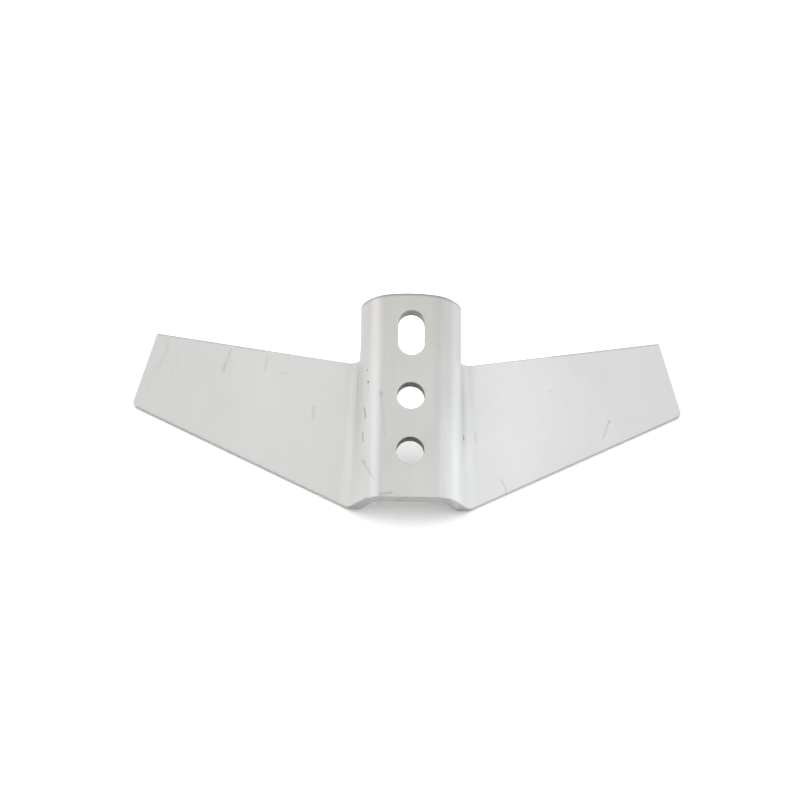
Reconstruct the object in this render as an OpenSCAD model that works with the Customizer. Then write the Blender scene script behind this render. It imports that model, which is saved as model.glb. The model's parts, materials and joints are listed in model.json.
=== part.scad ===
// Cultivator sweep, pressed from one steel plate: a channel-shaped stem that bolts to a tine,
// and two drooping wings with ground cutting edges that lie flat on the soil.
// The shape is drawn in the stem's own frame (x across, y up along the stem, z out of its face)
// and then laid back on the ground at the stem's slope.

/* [Plate] */
// Thickness of the plate
plate_t = 6; // [4:0.5:8]
// Height of the blunt land along the cutting edges
edge_land = 1.2; // [0.6:0.1:2]

/* [Stem] */
// Outside width of the stem
stem_w = 42.5; // [40:0.5:56]
// Length of the stem from the nose to its top end
stem_len = 88.5; // [84:0.5:120]
// Slope of the stem above the ground, in degrees
stem_slope = 30; // [22:1:38]
// Outside radius of the two long bends
bend_r = 11; // [9:0.5:14]
// Height of the bends' lower ends above the wing roots
side_h = 6; // [2.5:0.5:8]
// Depth of the free legs above the wings, from the stem's face
leg_h = 10; // [8:0.5:12]
// Radius of the crowned top end
top_r = 80; // [50:5:200]

/* [Wings] */
// Width across the wing tips
span = 237; // [200:1:280]
// Sweep of the cutting edges on the ground, in degrees
edge_sweep = 33; // [26:0.5:38]
// Sweep of the trailing edges against the stem, in degrees
trail_sweep = 14.5; // [8:0.5:18]
// Lean of the tip cuts against the stem, in degrees
tip_lean = 16.5; // [10:0.5:22]
// Corner radius at the outer end of each cutting edge
tip_r = 3; // [1:0.5:6]
// Length of the wing root along the stem
root_chord = 63; // [58:0.5:68]

/* [Root blend] */
// How far the side walls spread past the stem at the nose
nose_flare = 4; // [1:0.5:6]
// Fillet between side wall and wing at the nose
nose_fillet = 10; // [3:0.5:14]
// Fillet between side wall and wing at the trailing edge
trail_fillet = 5; // [2:0.5:6]
// Radius of the inner corners between stem and trailing edges
notch_r = 5; // [3:0.5:8]

/* [Bolt holes] */
// Diameter of the round holes
bolt_d = 11.5; // [8:0.5:14]
// Width of the slot
slot_w = 11; // [8:0.5:14]
// Overall length of the slot
slot_len = 19.5; // [16:0.5:24]
// Distance of the slot's middle from the stem's top end
slot_top = 17.5; // [16:0.5:20]
// Pitch from the slot's middle down to the middle hole
slot_pitch = 27.5; // [24:0.5:30]
// Pitch from the middle hole down to the lowest one
hole_pitch = 23.5; // [20:0.5:28]

/* [Hidden] */
$fn = 96;

// Overlap of cutting bodies past the plate
margin = 4;
// Segments of each round corner, bend and root fillet, and along the flared root
corner_steps = 8;
bend_steps = 8;
fillet_steps = 6;
root_steps = 8;
// Most of a side wall's length that its root fillet may take up
fillet_share = 0.95;

// Cross-section of the stem: half width, flat face, crown height over the wing roots
half_w = stem_w / 2;
flat_half = half_w - bend_r;
crown_z = bend_r + side_h;
// Inner end of each cutting edge, and the wings' droop that lets both edges lie on the ground
root_x = half_w + nose_flare;
droop = atan(tan(edge_sweep) * sin(stem_slope));
// Cutting edge's angle in the stem's frame, and half the corner between it and the tip cut
edge_angle = atan(tan(edge_sweep) * cos(stem_slope));
tip_half = (90 + edge_angle - tip_lean) / 2;
// Outer corners of a wing in the stem's frame, before the round corner that sets its width
tip_x = span / 2 - tip_r * (1 + cos(90 + tip_lean + tip_half) / sin(tip_half));
tip_y = (tip_x - root_x) * tan(edge_angle);
tail_y = (root_chord + (tip_x + tip_y * tan(tip_lean) - root_x) * tan(trail_sweep))
    / (1 + tan(tip_lean) * tan(trail_sweep));
tail_x = tip_x - (tail_y - tip_y) * tan(tip_lean);
// Lower ends of the stem's free legs
leg_z = crown_z - leg_h;
// Front and back of the laid part, and the middle that becomes its origin
front_y = -crown_z * sin(stem_slope);
back_y = tail_y * cos(stem_slope) + ((tail_x - root_x) * tan(droop) + plate_t / cos(droop)) * sin(stem_slope);
mid_y = (front_y + back_y) / 2;
reach = span + stem_len;

// Height of the wing's top surface at a distance from the middle
function wing_z(x) = (root_x - x) * tan(droop);
// Foot of the side wall: spread at the nose, upright from the trailing edge on
function foot_x(y) = half_w + nose_flare * max(0, 1 - y / root_chord);
function blend(y, nose, trail) = trail + (nose - trail) * min(1, max(0, 1 - y / root_chord));

// Right half of the plate's section at y, sunk by depth below its top surface: the bend, the
// root fillet and the wing out past its tip. The wall is tangent to the bend and runs to its foot.
function half_section(y, depth) =
    let (
        foot = [foot_x(y), wing_z(foot_x(y))],
        from_bend = foot - [flat_half, side_h],
        slope = asin(bend_r / norm(from_bend)) + atan2(-from_bend.y, from_bend.x),
        wall = sqrt(from_bend * from_bend - bend_r * bend_r),
        turn = tan((slope - droop) / 2),
        fillet = min(blend(y, nose_fillet, trail_fillet), fillet_share * wall / turn),
        start = foot - fillet * turn * [cos(slope), -sin(slope)],
        centre = start + fillet * [sin(slope), cos(slope)],
        end_x = tip_x + margin
    )
    concat(
        [for (i = [0:bend_steps]) let (a = slope * i / bend_steps)
            [flat_half, side_h] + (bend_r - depth) * [sin(a), cos(a)]],
        [for (i = [0:fillet_steps]) let (a = slope + (droop - slope) * i / fillet_steps)
            centre - (fillet + depth) * [sin(a), cos(a)]],
        [[end_x, wing_z(end_x)] - depth * [sin(droop), cos(droop)]]
    );

// Closed section at y: over the top from left to right, and back along the underside
function section(y) =
    let (top = half_section(y, 0), under = half_section(y, plate_t), last = len(top) - 1)
    concat(
        [for (i = [last:-1:0]) [-top[i].x, y, top[i].y]],
        [for (p = top) [p.x, y, p.y]],
        [for (i = [last:-1:0]) [under[i].x, y, under[i].y]],
        [for (p = under) [-p.x, y, p.y]]
    );

// The pressed plate before trimming, lofted through its sections along the stem
module pressed_plate() {
    stations = concat(
        [for (i = [0:root_steps]) -margin + (root_chord + margin) * i / root_steps],
        [stem_len + margin]
    );
    rings = [for (y = stations) section(y)];
    n = len(rings[0]);
    last = len(rings) - 1;
    polyhedron(
        points = [for (ring = rings) each ring],
        faces = concat(
            [for (k = [0:last - 1], i = [0:n - 1], half = [0, 1])
                let (j = (i + 1) % n, a = k * n, b = a + n)
                half == 0 ? [a + i, b + i, b + j] : [a + i, b + j, a + j]],
            [for (i = [0:n / 2 - 2], half = [0, 1])
                let (j = n - 1 - i)
                half == 0 ? [i, i + 1, j] : [i + 1, j - 1, j]],
            [for (i = [0:n / 2 - 2], half = [0, 1])
                let (a = last * n, j = a + n - 1 - i)
                half == 0 ? [a + i, j, a + i + 1] : [a + i + 1, j, j - 1]]
        )
    );
}

// Points along an arc, its angles counted from the x axis
function arc(centre, r, from, to) =
    [for (i = [0:corner_steps]) let (a = from + (to - from) * i / corner_steps)
        centre + r * [cos(a), sin(a)]];

// Right half of the outline as seen square on to the stem's face, from the nose round to the stem's top
function half_outline() =
    let (
        inward = 90 + tip_lean + tip_half,
        centre = [tip_x, tip_y] + tip_r / sin(tip_half) * [cos(inward), sin(inward)]
    )
    concat(
        [[root_x, 0]],
        arc(centre, tip_r, edge_angle - 90, tip_lean),
        [[tail_x, tail_y], [root_x, root_chord], [root_x, stem_len]]
    );

module outline() {
    right = half_outline();
    crown = top_r - sqrt(top_r * top_r - root_x * root_x);
    difference() {
        polygon(concat(right, [for (i = [len(right) - 1:-1:0]) [-right[i].x, right[i].y]]));
        // Waste above the crowned top end
        difference() {
            translate([-root_x - margin, stem_len - crown]) square([2 * (root_x + margin), crown + margin]);
            translate([0, stem_len - top_r]) circle(top_r);
        }
    }
}

// Space below the free legs of the stem, with a round inner corner at each trailing edge
module leg_cut() {
    rotate([90, 0, 90]) translate([0, 0, -root_x]) linear_extrude(2 * root_x) polygon(concat(
        arc([root_chord + notch_r, leg_z - notch_r], notch_r, 180, 90),
        [[root_chord + stem_len, leg_z], [root_chord + stem_len, leg_z - reach], [root_chord, leg_z - reach]]
    ));
}

// Slot and round holes through the stem's face, down from its top end
module bolt_holes() {
    straight = slot_len - slot_w;
    depth = plate_t + margin;
    translate([0, stem_len - slot_top, crown_z - plate_t - margin / 2]) {
        linear_extrude(depth) {
            for (end = [-1, 1]) translate([0, end * straight / 2]) circle(d = slot_w);
            square([slot_w, straight], center = true);
        }
        for (drop = [slot_pitch, slot_pitch + hole_pitch])
            translate([0, -drop, 0]) cylinder(d = bolt_d, h = depth);
    }
}

module sweep() {
    color([0.79, 0.79, 0.77]) intersection() {
        translate([0, -mid_y, edge_land]) rotate([stem_slope, 0, 0]) difference() {
            intersection() {
                pressed_plate();
                translate([0, 0, -reach]) linear_extrude(2 * reach) outline();
            }
            leg_cut();
            bolt_holes();
        }
        // The ground, which trims the undersides of the cutting edges flat
        translate([-reach, -reach, 0]) cube([2 * reach, 2 * reach, reach]);
    }
}

sweep();
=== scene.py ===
"""Looks of a cultivator sweep: worn silver-grey pressed steel, lying on a white floor in soft light."""
import json
import math
from types import SimpleNamespace

import bpy
from mathutils import Matrix, Vector

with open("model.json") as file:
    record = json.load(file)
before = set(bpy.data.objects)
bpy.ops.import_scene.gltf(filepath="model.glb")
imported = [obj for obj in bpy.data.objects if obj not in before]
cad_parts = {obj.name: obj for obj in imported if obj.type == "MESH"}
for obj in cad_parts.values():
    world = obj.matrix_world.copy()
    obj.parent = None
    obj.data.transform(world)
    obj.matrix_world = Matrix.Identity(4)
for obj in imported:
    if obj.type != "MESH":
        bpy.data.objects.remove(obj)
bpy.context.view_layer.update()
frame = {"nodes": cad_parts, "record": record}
scene = bpy.context.scene
sweep = frame["nodes"]["sweep"]

MM = 0.001
WHITE = (1, 1, 1, 1)

# Camera, fitted to the photograph: the point that it looks at (m), its angles, its distance (m), the
# photograph's scale at that point, and the pixel where that point is seen
IMAGE_PX = 800
SENSOR_MM = 36.0
CLIP_START = 0.01
CAMERA_TARGET = Vector((0.0, 0.0, 0.028))
CAMERA_AZIMUTH = math.radians(-1.6)
CAMERA_ELEVATION = math.radians(41.45)
CAMERA_ROLL = math.radians(2.2)
CAMERA_DISTANCE = 0.865
PX_PER_M = 2400.0
TARGET_PX = (410.0, 394.2)

# Floor: its width and its drop below the part (m), colour, roughness, gloss, and a faint glow of its own
FLOOR_SIZE = 8.0
FLOOR_DROP = 0.2 * MM
FLOOR_COLOUR = (0.9, 0.9, 0.9, 1)
FLOOR_ROUGHNESS = 0.9
FLOOR_GLOSS = 0.1
FLOOR_GLOW = 0.125

# Light: soft round patches of sky, at an azimuth from the camera's side round to the right and an
# elevation (degrees), with a radiance and a tint. They stand to both sides and behind, and none of them
# straight in front.
WARM = (1.01, 1.0, 0.98)
PLAIN = (1.0, 1.0, 1.0)
COOL = (0.99, 1.01, 1.02)
PATCH_REACH = math.radians(36)
SKY_PATCHES = (
    ("right high", 60, 55, 2.3, COOL),
    ("right back high", 120, 55, 0.6, COOL),
    ("back high", 180, 55, 1.4, WARM),
    ("left back high", 240, 55, 1.4, PLAIN),
    ("left high", 300, 55, 1.6, WARM),
    ("right low", 90, 18, 1.9, COOL),
    ("right back low", 135, 18, 2.9, COOL),
    ("back low", 180, 18, 0.9, PLAIN),
    ("left back low", 225, 18, 1.8, PLAIN),
    ("left low", 270, 18, 1.7, WARM),
)

# The stem's own frame, from its bolt holes: across, up along the stem and out of its face
mounts = {mount["name"]: mount for mount in frame["record"]["mounts"]}
LOWER_HOLE = Vector(mounts["lower_bolt"]["pos_m"])
OUT = Vector(mounts["lower_bolt"]["axis"])
ALONG = (Vector(mounts["middle_bolt"]["pos_m"]) - LOWER_HOLE).normalized()
ACROSS = ALONG.cross(OUT)
STEM_SLOPE = math.atan2(ALONG.z, ALONG.y)

# Edges: how close points are joined (m), and the angle up to which faces count as one flat
WELD_REACH = 0.35 * MM
FLAT_ANGLE = math.radians(0.05)
# Rounding of the sheared edges (m), its segments, the angle from which an edge is rounded, the rounding's
# share on the hole rims, and the stretch of the stem with the holes (m from the lower one)
EDGE_ROUND = 0.55 * MM
EDGE_SEGMENTS = 4
SHARP_ANGLE = math.radians(35)
RIM_SHARE = 0.4
HOLES_HALF_WIDTH = 6.5 * MM
HOLES_LOW = -8.0 * MM
HOLES_HIGH = 62.5 * MM

# Steel: dark and light tone of its mottling, how metallic it is, and its least and most roughness
STEEL_DARK = (0.45, 0.45, 0.445, 1)
STEEL_LIGHT = (0.505, 0.505, 0.50, 1)
METALLIC = 0.3
ROUGH_LOW = 0.44
ROUGH_HIGH = 0.52

# Patterns: sizes (mm) across, along and out of the stem's face, detail, and the noise values between which
# each one fades in
MOTTLE_MM = (26, 34, 26)
STREAK_MM = (1.4, 60, 1.4)
GRAIN_MM = (0.8, 0.8, 0.8)
TORN_MM = (4.5, 1.2, 0.9)
MOTTLE_DETAIL = 5
FINE_DETAIL = 2
PATTERN_ROUGHNESS = 0.6
MOTTLE_RANGE = (0.3, 0.7)
STREAK_RANGE = (0.35, 0.65)
GRAIN_RANGE = (0.35, 0.65)
TORN_RANGE = (0.45, 0.62)
# Depths (mm) of grain, streaks and marks, and the strength of their bump
GRAIN_DEPTH = 0.012
STREAK_DEPTH = 0.01
MARK_DEPTH = 0.1
BUMP_STRENGTH = 0.6

# Each layer below multiplies the steel's colour by its tint where its mask is one. Places are in mm: across
# from the middle, along from the lower hole, and out from the middle of the stem's plate. A pair says where
# a mask starts and ends fading, or gives a band's middle and half width. A band's core is a share of that.
BAND_CORE = 0.1

# Grain all over, and painted shade that darkens the wing tips outwards
GRAIN_TINT = (0.98, 0.98, 0.98)
TIP_SHADE_TINT = (0.93, 0.93, 0.93)
TIP_FADE_MM = (40, 118)

# The stem: its edge, its faintly yellow face, its top darker as painted shade and warmer, and drawing
# streaks, weaker on the face
STEM_FADE_MM = (22, 28)
BEND_START_MM = (9, 13)
FACE_TINT = (1.0, 1.0, 0.975)
STEM_TOP_SHADE_TINT = (0.95, 0.935, 0.92)
STEM_TOP_MM = (22, 62)
STREAK_TINT = (0.95, 0.95, 0.95)
FACE_STREAKS = 0.25

# Burnished bands on the two bends: glossier, and lighter as a painted highlight, broken up by the streaks;
# the right one fades up the stem
BURNISH_HIGHLIGHT_TINT = (1.13, 1.135, 1.15)
BURNISH_GLOSS = 0.06
BURNISH_HIGHLIGHT_RANGE = (0.3, 0.6)
BURNISH_HIGHLIGHT_LEAST = 0.6
LEFT_BURNISH_HIGHLIGHT_MM = (-14.7, 2.8)
RIGHT_BURNISH_HIGHLIGHT_MM = (18.6, 3.0)
RIGHT_BURNISH_HIGHLIGHT_UP_MM = (0, 45)
RIGHT_BURNISH_HIGHLIGHT_TOP = 0.1

# Painted shade: a darker stretch on the right bend, weaker past its crest and gone towards the nose
SHADE_TINT = (0.84, 0.84, 0.84)
SHADE_IN_MM = (7, 15)
SHADE_OUT_MM = (15.5, 19)
SHADE_REST = 0.45
SHADE_UP_MM = (2, 30)

# Painted light: lighter stretches on the valleys beside the stem near the nose, the right side wall, and the
# right wing's root
VALLEY_LIGHT_TINT = (1.16, 1.16, 1.16)
VALLEY_MM = (21.8, 4.5)
VALLEY_UP_MM = (-8, 20)
RIGHT_WALL_MM = (20.4, 2.6)
RIGHT_WALL_UP_MM = (36, 44)
RIGHT_ROOT_LIGHT_TINT = (1.07, 1.07, 1.07)
RIGHT_ROOT_IN_MM = (24, 30)
RIGHT_ROOT_OUT_MM = (38, 80)

# Sheared faces, told by how far they face up along the stem, and the dark rim of the crowned top end: the
# end's radius and centre, and the rim's width and strength
SHEARED_TINT = (0.45, 0.45, 0.44)
FACING_BACK = (0.08, 0.5)
TOP_RADIUS_MM = 80
TOP_CENTRE_MM = (0, -11.5, 0)
TOP_RIM_MM = (0.4, 1.7)
TOP_RIM_STRENGTH = 0.8

# Faces turned down the stem: the nose and the cutting edges, their torn patches, and a painted shadow line
# low on the nose
FACING_FRONT = (-0.9, -0.3)
NOSE_TINT = (0.86, 0.86, 0.85)
TORN_TINT = (0.74, 0.74, 0.73)
NOSE_SHADOW_LINE_TINT = (0.7, 0.7, 0.7)
NOSE_SHADOW_LINE_ACROSS_MM = (11, 15)
NOSE_SHADOW_LINE_OUT_MM = (-2.6, -1.4)

# Painted shade on the walls of the bolt holes, between the plate's two faces; the slot's wall is less dark
HOLE_SHADE_TINT = (0.26, 0.26, 0.26)
HOLE_SIDE_MM = (6.4, 6.6)
HOLE_FACE_MM = (2.5, 2.95)
HOLE_UNDER_MM = (-2.95, -2.5)
HOLE_LOW_MM = (-8, -7)
HOLE_HIGH_MM = (62, 63)
SLOT_START_MM = (40, 45)
SLOT_STRENGTH = 0.5

# Marks: their tint, how the grain breaks them up, the shares of their width where they start and end fading,
# and the height above the stem (m) from which their places are looked for
MARK_TINT = (0.08, 0.08, 0.08)
MARK_GRAIN = (0.2, 0.6)
MARK_LEAST = 0.75
MARK_CORE = 0.2
MARK_FRINGE = 0.7
LOOK_HEIGHT = 0.1
# Scratches and press marks: width (mm), strength, and points (mm across and along from the lower hole)
SCRATCHES = (
    (1.1, 0.13, ((-76.5, 54.0), (-77.2, 51.5), (-78.4, 48.0))),
    (1.3, 0.18, ((-78.4, 48.0), (-79.5, 44.5))),
    (1.2, 0.09, ((-60.5, 50.0), (-61.5, 43.0))),
    (1.5, 0.13, ((-40.2, 25.0), (-40.1, 20.0))),
    (1.8, 0.08, ((-104.0, 61.0), (-104.7, 56.5), (-108.5, 48.5))),
    (1.4, 0.05, ((-100.5, 53.8), (-100.3, 49.2))),
    (1.6, 0.06, ((-55.0, 41.3), (-52.3, 41.1))),
    (1.0, 0.42, ((-18.9, 19.0), (-18.4, 14.6))),
    (0.9, 0.40, ((-19.4, 8.9), (-19.3, 5.0))),
    (1.5, 0.26, ((-19.0, -3.6), (-18.4, -5.0))),
    (1.3, 0.15, ((-18.4, -5.0), (-17.6, -7.0), (-15.3, -10.8))),
    (1.2, 0.08, ((-15.3, -10.8), (-13.9, -12.7))),
    (1.5, 0.20, ((-12.3, 24.6), (-12.1, 23.2))),
    (1.3, 0.07, ((-12.2, 21.3), (-10.9, 12.7), (-10.3, 6.0))),
    (1.5, 0.85, ((22.3, 10.2), (22.4, 9.2))),
    (0.8, 0.14, ((27.4, 13.5), (28.0, 9.2))),
    (1.2, 0.26, ((-11.8, -18.7), (-7.5, -18.0))),
    (0.9, 0.17, ((85.8, 25.9), (84.8, 22.9), (83.0, 18.1))),
    (0.9, 0.17, ((60.0, 51.5), (108.0, 63.9))),
    (0.8, 0.14, ((-109.0, 64.1), (-62.0, 52.0))),
    (0.7, 0.22, ((38.4, -5.6), (40.1, -8.4), (40.6, -11.0))),
)
# Pits: diameter (mm), strength, and place (mm across and along from the lower hole)
PITS = (
    (0.9, 0.50, (-17.9, 35.2)),
    (1.1, 0.65, (-17.6, 29.9)),
    (0.7, 0.35, (-17.6, 28.2)),
    (0.8, 0.40, (-17.6, 26.8)),
    (0.7, 0.30, (-17.8, 25.3)),
    (0.6, 0.25, (-18.0, 23.9)),
    (1.1, 0.50, (22.5, 7.3)),
    (0.7, 0.20, (6.4, 47.8)),
    (0.8, 0.12, (8.1, 46.5)),
    (0.7, 0.10, (9.4, 45.6)),
    (0.9, 0.20, (11.5, 45.3)),
    (0.9, 0.32, (59.6, 35.9)),
    (1.4, 0.34, (85.8, 25.9)),
    (0.8, 0.07, (98.0, 29.0)),
    (1.0, 0.08, (-101.3, 33.3)),
    (1.2, 0.10, (-111.8, 39.7)),
    (0.8, 0.09, (-80.5, 15.4)),
    (1.3, 0.08, (-102.0, 47.5)),
    (1.2, 0.06, (-97.4, 42.1)),
    (1.2, 0.08, (-104.8, 50.5)),
)


def make_camera():
    az, el = CAMERA_AZIMUTH, CAMERA_ELEVATION
    back = Vector((math.sin(az) * math.cos(el), -math.cos(az) * math.cos(el), math.sin(el)))
    level = Vector((math.cos(az), math.sin(az), 0.0))
    upright = back.cross(level)
    right = math.cos(CAMERA_ROLL) * level + math.sin(CAMERA_ROLL) * upright
    up = back.cross(right)
    half = IMAGE_PX / 2
    aim = CAMERA_TARGET + ((half - TARGET_PX[0]) * right - (half - TARGET_PX[1]) * up) / PX_PER_M
    data = bpy.data.cameras.new("camera")
    data.sensor_width = SENSOR_MM
    data.lens = PX_PER_M * CAMERA_DISTANCE * SENSOR_MM / IMAGE_PX
    data.clip_start = CLIP_START
    camera = bpy.data.objects.new("camera", data)
    scene.collection.objects.link(camera)
    turn = Matrix((right, up, back)).transposed().to_4x4()
    camera.matrix_world = Matrix.Translation(aim + back * CAMERA_DISTANCE) @ turn
    scene.camera = camera


def add_node(tree, kind, settings=None, inputs=None):
    """Adds a node; an input's value is a number, a colour, a vector or another node's output."""
    node = tree.nodes.new(kind)
    for name, value in (settings or {}).items():
        setattr(node, name, value)
    for key, value in (inputs or {}).items():
        if isinstance(value, bpy.types.NodeSocket):
            tree.links.new(value, node.inputs[key])
        else:
            node.inputs[key].default_value = value
    return node


def math_node(tree, operation, first, second=0.0):
    return add_node(tree, "ShaderNodeMath", {"operation": operation}, {0: first, 1: second}).outputs[0]


def vector_node(tree, operation, first, second, output="Vector"):
    node = add_node(tree, "ShaderNodeVectorMath", {"operation": operation}, {0: first, 1: second})
    return node.outputs[output]


def product(tree, first, *others):
    """All the values multiplied together."""
    for other in others:
        first = math_node(tree, "MULTIPLY", first, other)
    return first


def ramp(tree, value, start, end, low, high):
    """A smooth step of the value: low up to start, high from end on."""
    inputs = {"Value": value, "From Min": start, "From Max": end, "To Min": low, "To Max": high}
    return add_node(tree, "ShaderNodeMapRange", {"interpolation_type": "SMOOTHSTEP"}, inputs).outputs[0]


def fade_in(tree, value, stretch, least=0.0):
    return ramp(tree, value, *stretch, least, 1.0)


def fade_out(tree, value, stretch, least=0.0):
    return ramp(tree, value, *stretch, 1.0, least)


def band(tree, value, middle, half_width):
    """One along a line, fading to nothing at half its width."""
    offset = math_node(tree, "ABSOLUTE", math_node(tree, "SUBTRACT", value, middle))
    return fade_out(tree, offset, (BAND_CORE * half_width, half_width))


def make_floor():
    bpy.ops.mesh.primitive_plane_add(size=FLOOR_SIZE, location=(0, 0, -FLOOR_DROP))
    floor = bpy.context.object
    floor.name = "floor"
    material = bpy.data.materials.new("white_floor")
    material.use_nodes = True
    shader = material.node_tree.nodes["Principled BSDF"]
    shader.inputs["Base Color"].default_value = FLOOR_COLOUR
    shader.inputs["Roughness"].default_value = FLOOR_ROUGHNESS
    shader.inputs["Specular IOR Level"].default_value = FLOOR_GLOSS
    shader.inputs["Emission Color"].default_value = WHITE
    shader.inputs["Emission Strength"].default_value = FLOOR_GLOW
    floor.data.materials.append(material)


def make_light():
    world = bpy.data.worlds.new("studio")
    scene.world = world
    world.use_nodes = True
    tree = world.node_tree
    direction = add_node(tree, "ShaderNodeTexCoord").outputs["Generated"]
    total = (0, 0, 0)
    for name, azimuth, elevation, radiance, tint in SKY_PATCHES:
        az, el = math.radians(azimuth), math.radians(elevation)
        middle = (math.sin(az) * math.cos(el), -math.cos(az) * math.cos(el), math.sin(el))
        nearness = vector_node(tree, "DOT_PRODUCT", direction, middle, "Value")
        amount = ramp(tree, nearness, math.cos(PATCH_REACH), 1.0, 0.0, radiance)
        settings = {"operation": "SCALE", "label": name}
        patch = add_node(tree, "ShaderNodeVectorMath", settings, {0: tint, "Scale": amount})
        total = vector_node(tree, "ADD", patch.outputs[0], total)
    # The backdrop that a camera sees stays white
    is_camera = add_node(tree, "ShaderNodeLightPath").outputs["Is Camera Ray"]
    seen = add_node(tree, "ShaderNodeMixRGB", None, {"Fac": is_camera, "Color1": total, "Color2": WHITE})
    tree.links.new(seen.outputs[0], tree.nodes["Background"].inputs["Color"])
    scene.view_settings.view_transform = "Standard"


def edge_weights():
    """Geometry nodes that mark the sharp edges for rounding, the hole rims with less of it."""
    tree = bpy.data.node_groups.new("edge_weights", "GeometryNodeTree")
    tree.interface.new_socket("Geometry", in_out="INPUT", socket_type="NodeSocketGeometry")
    tree.interface.new_socket("Geometry", in_out="OUTPUT", socket_type="NodeSocketGeometry")
    source = tree.nodes.new("NodeGroupInput")
    result = tree.nodes.new("NodeGroupOutput")
    place = add_node(tree, "GeometryNodeInputPosition").outputs[0]
    angle = add_node(tree, "GeometryNodeInputMeshEdgeAngle").outputs["Unsigned Angle"]
    from_hole = vector_node(tree, "SUBTRACT", place, LOWER_HOLE)
    across = vector_node(tree, "DOT_PRODUCT", from_hole, ACROSS, "Value")
    along = vector_node(tree, "DOT_PRODUCT", from_hole, ALONG, "Value")
    near_axis = math_node(tree, "LESS_THAN", math_node(tree, "ABSOLUTE", across), HOLES_HALF_WIDTH)
    above = math_node(tree, "GREATER_THAN", along, HOLES_LOW)
    below = math_node(tree, "LESS_THAN", along, HOLES_HIGH)
    less = product(tree, near_axis, above, below, 1 - RIM_SHARE)
    sharp = math_node(tree, "GREATER_THAN", angle, SHARP_ANGLE)
    weight = product(tree, sharp, math_node(tree, "SUBTRACT", 1, less))
    settings = {"data_type": "FLOAT", "domain": "EDGE"}
    inputs = {"Geometry": source.outputs[0], "Name": "bevel_weight_edge", "Value": weight}
    store = add_node(tree, "GeometryNodeStoreNamedAttribute", settings, inputs)
    tree.links.new(store.outputs[0], result.inputs[0])
    return tree


def round_edges():
    """Rounds the sharp edges as shearing and wear do, less at the hole rims than at the outline."""
    weld = sweep.modifiers.new("weld", "WELD")
    weld.merge_threshold = WELD_REACH
    flat = sweep.modifiers.new("flat_faces", "DECIMATE")
    flat.decimate_type = "DISSOLVE"
    flat.angle_limit = FLAT_ANGLE
    sweep.modifiers.new("edge_weights", "NODES").node_group = edge_weights()
    bevel = sweep.modifiers.new("worn_edges", "BEVEL")
    bevel.width = EDGE_ROUND
    bevel.segments = EDGE_SEGMENTS
    bevel.limit_method = "WEIGHT"
    bevel.use_clamp_overlap = False
    bevel.loop_slide = False
    normals = sweep.modifiers.new("normals", "WEIGHTED_NORMAL")
    normals.keep_sharp = False


def on_steel(across_mm, along_mm):
    """The point of the steel under a place given across and along from the lower hole."""
    above = LOWER_HOLE + (ACROSS * across_mm + ALONG * along_mm) * MM + OUT * LOOK_HEIGHT
    hit, place, _, _ = sweep.ray_cast(above, -OUT)
    if not hit:
        raise ValueError(f"no steel under {across_mm}, {along_mm}")
    return place


def mark_mask(tree, distance, width, strength):
    """How strongly a mark shows at a distance from its middle."""
    return ramp(tree, distance, MARK_CORE * width, MARK_FRINGE * width, strength, 0.0)


def line_distance(tree, position, start, end):
    run = end - start
    offset = vector_node(tree, "SUBTRACT", position, start)
    share = vector_node(tree, "DOT_PRODUCT", offset, run / run.length_squared, "Value")
    share = add_node(tree, "ShaderNodeClamp", None, {"Value": share}).outputs[0]
    nearest = add_node(tree, "ShaderNodeVectorMath", {"operation": "SCALE"}, {0: run, "Scale": share})
    return vector_node(tree, "DISTANCE", offset, nearest.outputs[0], "Value")


def marks_mask(tree, position):
    """How strongly scratches, press marks and pits show at a point of the steel."""
    masks = []
    for width, strength, points in SCRATCHES:
        places = [on_steel(*point) for point in points]
        for start, end in zip(places, places[1:]):
            distance = line_distance(tree, position, start, end)
            masks.append(mark_mask(tree, distance, width * MM, strength))
    for diameter, strength, point in PITS:
        distance = vector_node(tree, "DISTANCE", position, on_steel(*point), "Value")
        masks.append(mark_mask(tree, distance, diameter * MM, strength))
    total = masks[0]
    for mask in masks[1:]:
        total = math_node(tree, "MAXIMUM", total, mask)
    return total


def stem_place(tree, position, size_mm):
    """The position across, along and out of the stem's face from the lower hole, in the given sizes (mm)."""
    inputs = {"Vector": position, "Location": LOWER_HOLE, "Rotation": (STEM_SLOPE, 0, 0)}
    inputs["Scale"] = Vector(size_mm) * MM
    return add_node(tree, "ShaderNodeMapping", {"vector_type": "TEXTURE"}, inputs).outputs[0]


def pattern(tree, position, size_mm, detail):
    """Noise with its size (mm) across, along and out of the stem's face."""
    place = stem_place(tree, position, size_mm)
    inputs = {"Vector": place, "Scale": 1.0, "Detail": detail, "Roughness": PATTERN_ROUGHNESS}
    return add_node(tree, "ShaderNodeTexNoise", None, inputs).outputs["Fac"]


def measure(tree, coords):
    """Where a point of the steel is, in mm from the lower hole, and how far it faces up along the stem."""
    in_mm = stem_place(tree, coords.outputs["Object"], (1, 1, 1))
    across, along, out = add_node(tree, "ShaderNodeSeparateXYZ", None, {0: in_mm}).outputs
    off_middle = math_node(tree, "ABSOLUTE", across)
    return SimpleNamespace(
        across=across,
        along=along,
        out=out,
        off_middle=off_middle,
        on_face=add_node(tree, "ShaderNodeCombineXYZ", None, {"X": across, "Y": along}).outputs[0],
        on_stem=fade_out(tree, off_middle, STEM_FADE_MM),
        facing_back=vector_node(tree, "DOT_PRODUCT", coords.outputs["Normal"], ALONG, "Value"),
    )


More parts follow.
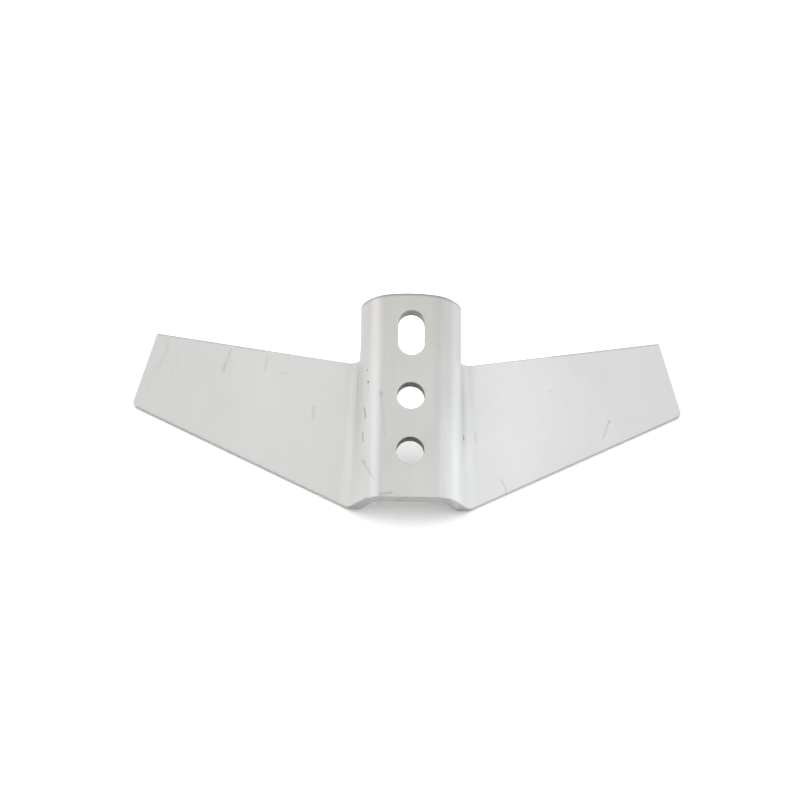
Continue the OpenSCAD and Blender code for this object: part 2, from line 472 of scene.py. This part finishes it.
def burnish_and_highlight_mask(tree, at, streaks):
    # Burnish on the bends: glossier, and its lighter tint is a painted highlight
    left = band(tree, at.across, *LEFT_BURNISH_HIGHLIGHT_MM)
    upwards = fade_out(tree, at.along, RIGHT_BURNISH_HIGHLIGHT_UP_MM, RIGHT_BURNISH_HIGHLIGHT_TOP)
    right = product(tree, band(tree, at.across, *RIGHT_BURNISH_HIGHLIGHT_MM), upwards)
    broken = fade_in(tree, streaks, BURNISH_HIGHLIGHT_RANGE, BURNISH_HIGHLIGHT_LEAST)
    return product(tree, math_node(tree, "ADD", left, right), broken)


def surface_layers(tree, at):
    """Masks and tints of the wings, the stem, and the painted light and shade about its bends; the wing tips
    and the stem's top get painted shade too.
    """
    # Painted shade that darkens the stem's top
    top = product(tree, at.on_stem, fade_in(tree, at.along, STEM_TOP_MM))
    # Painted shade on the right bend
    crest = fade_out(tree, at.across, SHADE_OUT_MM, SHADE_REST)
    upwards = fade_in(tree, at.along, SHADE_UP_MM)
    shade = product(tree, fade_in(tree, at.across, SHADE_IN_MM), crest, at.on_stem, upwards)
    # Painted light in the valleys, on the right side wall and on the right wing's root
    valley = product(tree, band(tree, at.off_middle, *VALLEY_MM), fade_out(tree, at.along, VALLEY_UP_MM))
    wall = product(tree, band(tree, at.across, *RIGHT_WALL_MM), fade_out(tree, at.along, RIGHT_WALL_UP_MM))
    root_end = fade_out(tree, at.across, RIGHT_ROOT_OUT_MM)
    return [
        # Painted shade that darkens the wing tips outwards
        (fade_in(tree, at.off_middle, TIP_FADE_MM), TIP_SHADE_TINT),
        (fade_out(tree, at.off_middle, BEND_START_MM), FACE_TINT),
        (top, STEM_TOP_SHADE_TINT),
        (shade, SHADE_TINT),
        (math_node(tree, "MAXIMUM", valley, wall), VALLEY_LIGHT_TINT),
        (product(tree, fade_in(tree, at.across, RIGHT_ROOT_IN_MM), root_end), RIGHT_ROOT_LIGHT_TINT),
    ]


def edge_layers(tree, at, torn):
    """Masks and tints of the sheared faces, the nose with its painted shadow line, the cutting edges and the
    painted shade on the hole walls.
    """
    from_centre = vector_node(tree, "DISTANCE", at.on_face, TOP_CENTRE_MM, "Value")
    to_top = math_node(tree, "SUBTRACT", TOP_RADIUS_MM, from_centre)
    rim = product(tree, at.on_stem, ramp(tree, to_top, *TOP_RIM_MM, TOP_RIM_STRENGTH, 0.0))
    sheared = math_node(tree, "MAXIMUM", rim, fade_in(tree, at.facing_back, FACING_BACK))
    front = fade_out(tree, at.facing_back, FACING_FRONT)
    # A painted shadow line low on the nose
    nose_shadow_line = product(
        tree,
        front,
        fade_out(tree, at.off_middle, NOSE_SHADOW_LINE_ACROSS_MM),
        fade_out(tree, at.out, NOSE_SHADOW_LINE_OUT_MM),
    )
    # Painted shade on the walls of the bolt holes
    hole = product(
        tree,
        fade_out(tree, at.off_middle, HOLE_SIDE_MM),
        fade_out(tree, at.out, HOLE_FACE_MM),
        fade_in(tree, at.out, HOLE_UNDER_MM),
        fade_in(tree, at.along, HOLE_LOW_MM),
        fade_out(tree, at.along, HOLE_HIGH_MM),
        fade_out(tree, at.along, SLOT_START_MM, SLOT_STRENGTH),
    )
    return [
        (sheared, SHEARED_TINT),
        (front, NOSE_TINT),
        (product(tree, front, fade_in(tree, torn, TORN_RANGE)), TORN_TINT),
        (nose_shadow_line, NOSE_SHADOW_LINE_TINT),
        (hole, HOLE_SHADE_TINT),
    ]


def layer(tree, colour, mask, tint):
    """The colour, multiplied by a tint where the mask is one."""
    inputs = {"Fac": mask, "Color1": colour, "Color2": (*tint, 1)}
    return add_node(tree, "ShaderNodeMixRGB", {"blend_type": "MULTIPLY"}, inputs).outputs[0]


def steel():
    material = bpy.data.materials.new("pressed_steel_look")
    material.use_nodes = True
    tree = material.node_tree
    shader = tree.nodes["Principled BSDF"]
    coords = add_node(tree, "ShaderNodeTexCoord")
    position = coords.outputs["Object"]
    mottle = pattern(tree, position, MOTTLE_MM, MOTTLE_DETAIL)
    streaks = pattern(tree, position, STREAK_MM, FINE_DETAIL)
    grain = pattern(tree, position, GRAIN_MM, FINE_DETAIL)
    torn = pattern(tree, position, TORN_MM, FINE_DETAIL)
    at = measure(tree, coords)
    drawn = fade_in(tree, at.off_middle, BEND_START_MM, FACE_STREAKS)
    streaked = product(tree, at.on_stem, drawn, fade_in(tree, streaks, STREAK_RANGE))
    # Burnish on the bends: less rough, and lighter as a painted highlight
    burnish_and_highlight = burnish_and_highlight_mask(tree, at, streaks)
    marks = product(tree, marks_mask(tree, position), fade_in(tree, grain, MARK_GRAIN, MARK_LEAST))

    tones = add_node(tree, "ShaderNodeValToRGB", None, {"Fac": mottle})
    dark, light = tones.color_ramp.elements
    dark.position, light.position = MOTTLE_RANGE
    dark.color = STEEL_DARK
    light.color = STEEL_LIGHT
    grainy = fade_in(tree, grain, GRAIN_RANGE)
    layers = [(grainy, GRAIN_TINT), (streaked, STREAK_TINT), (burnish_and_highlight, BURNISH_HIGHLIGHT_TINT)]
    layers += surface_layers(tree, at) + edge_layers(tree, at, torn) + [(marks, MARK_TINT)]
    colour = tones.outputs[0]
    for mask, tint in layers:
        colour = layer(tree, colour, mask, tint)
    tree.links.new(colour, shader.inputs["Base Color"])

    rough = ramp(tree, mottle, *MOTTLE_RANGE, ROUGH_LOW, ROUGH_HIGH)
    rough = math_node(tree, "SUBTRACT", rough, product(tree, burnish_and_highlight, BURNISH_GLOSS))
    tree.links.new(rough, shader.inputs["Roughness"])
    shader.inputs["Metallic"].default_value = METALLIC

    height = product(tree, grain, GRAIN_DEPTH)
    height = math_node(tree, "SUBTRACT", height, product(tree, marks, MARK_DEPTH))
    height = math_node(tree, "ADD", height, product(tree, streaked, STREAK_DEPTH))
    inputs = {"Height": height, "Distance": MM, "Strength": BUMP_STRENGTH}
    bump = add_node(tree, "ShaderNodeBump", None, inputs)
    tree.links.new(bump.outputs[0], shader.inputs["Normal"])
    return material


make_camera()
make_floor()
make_light()
sweep.data.materials[0] = steel()
round_edges()

bpy.context.view_layer.update()
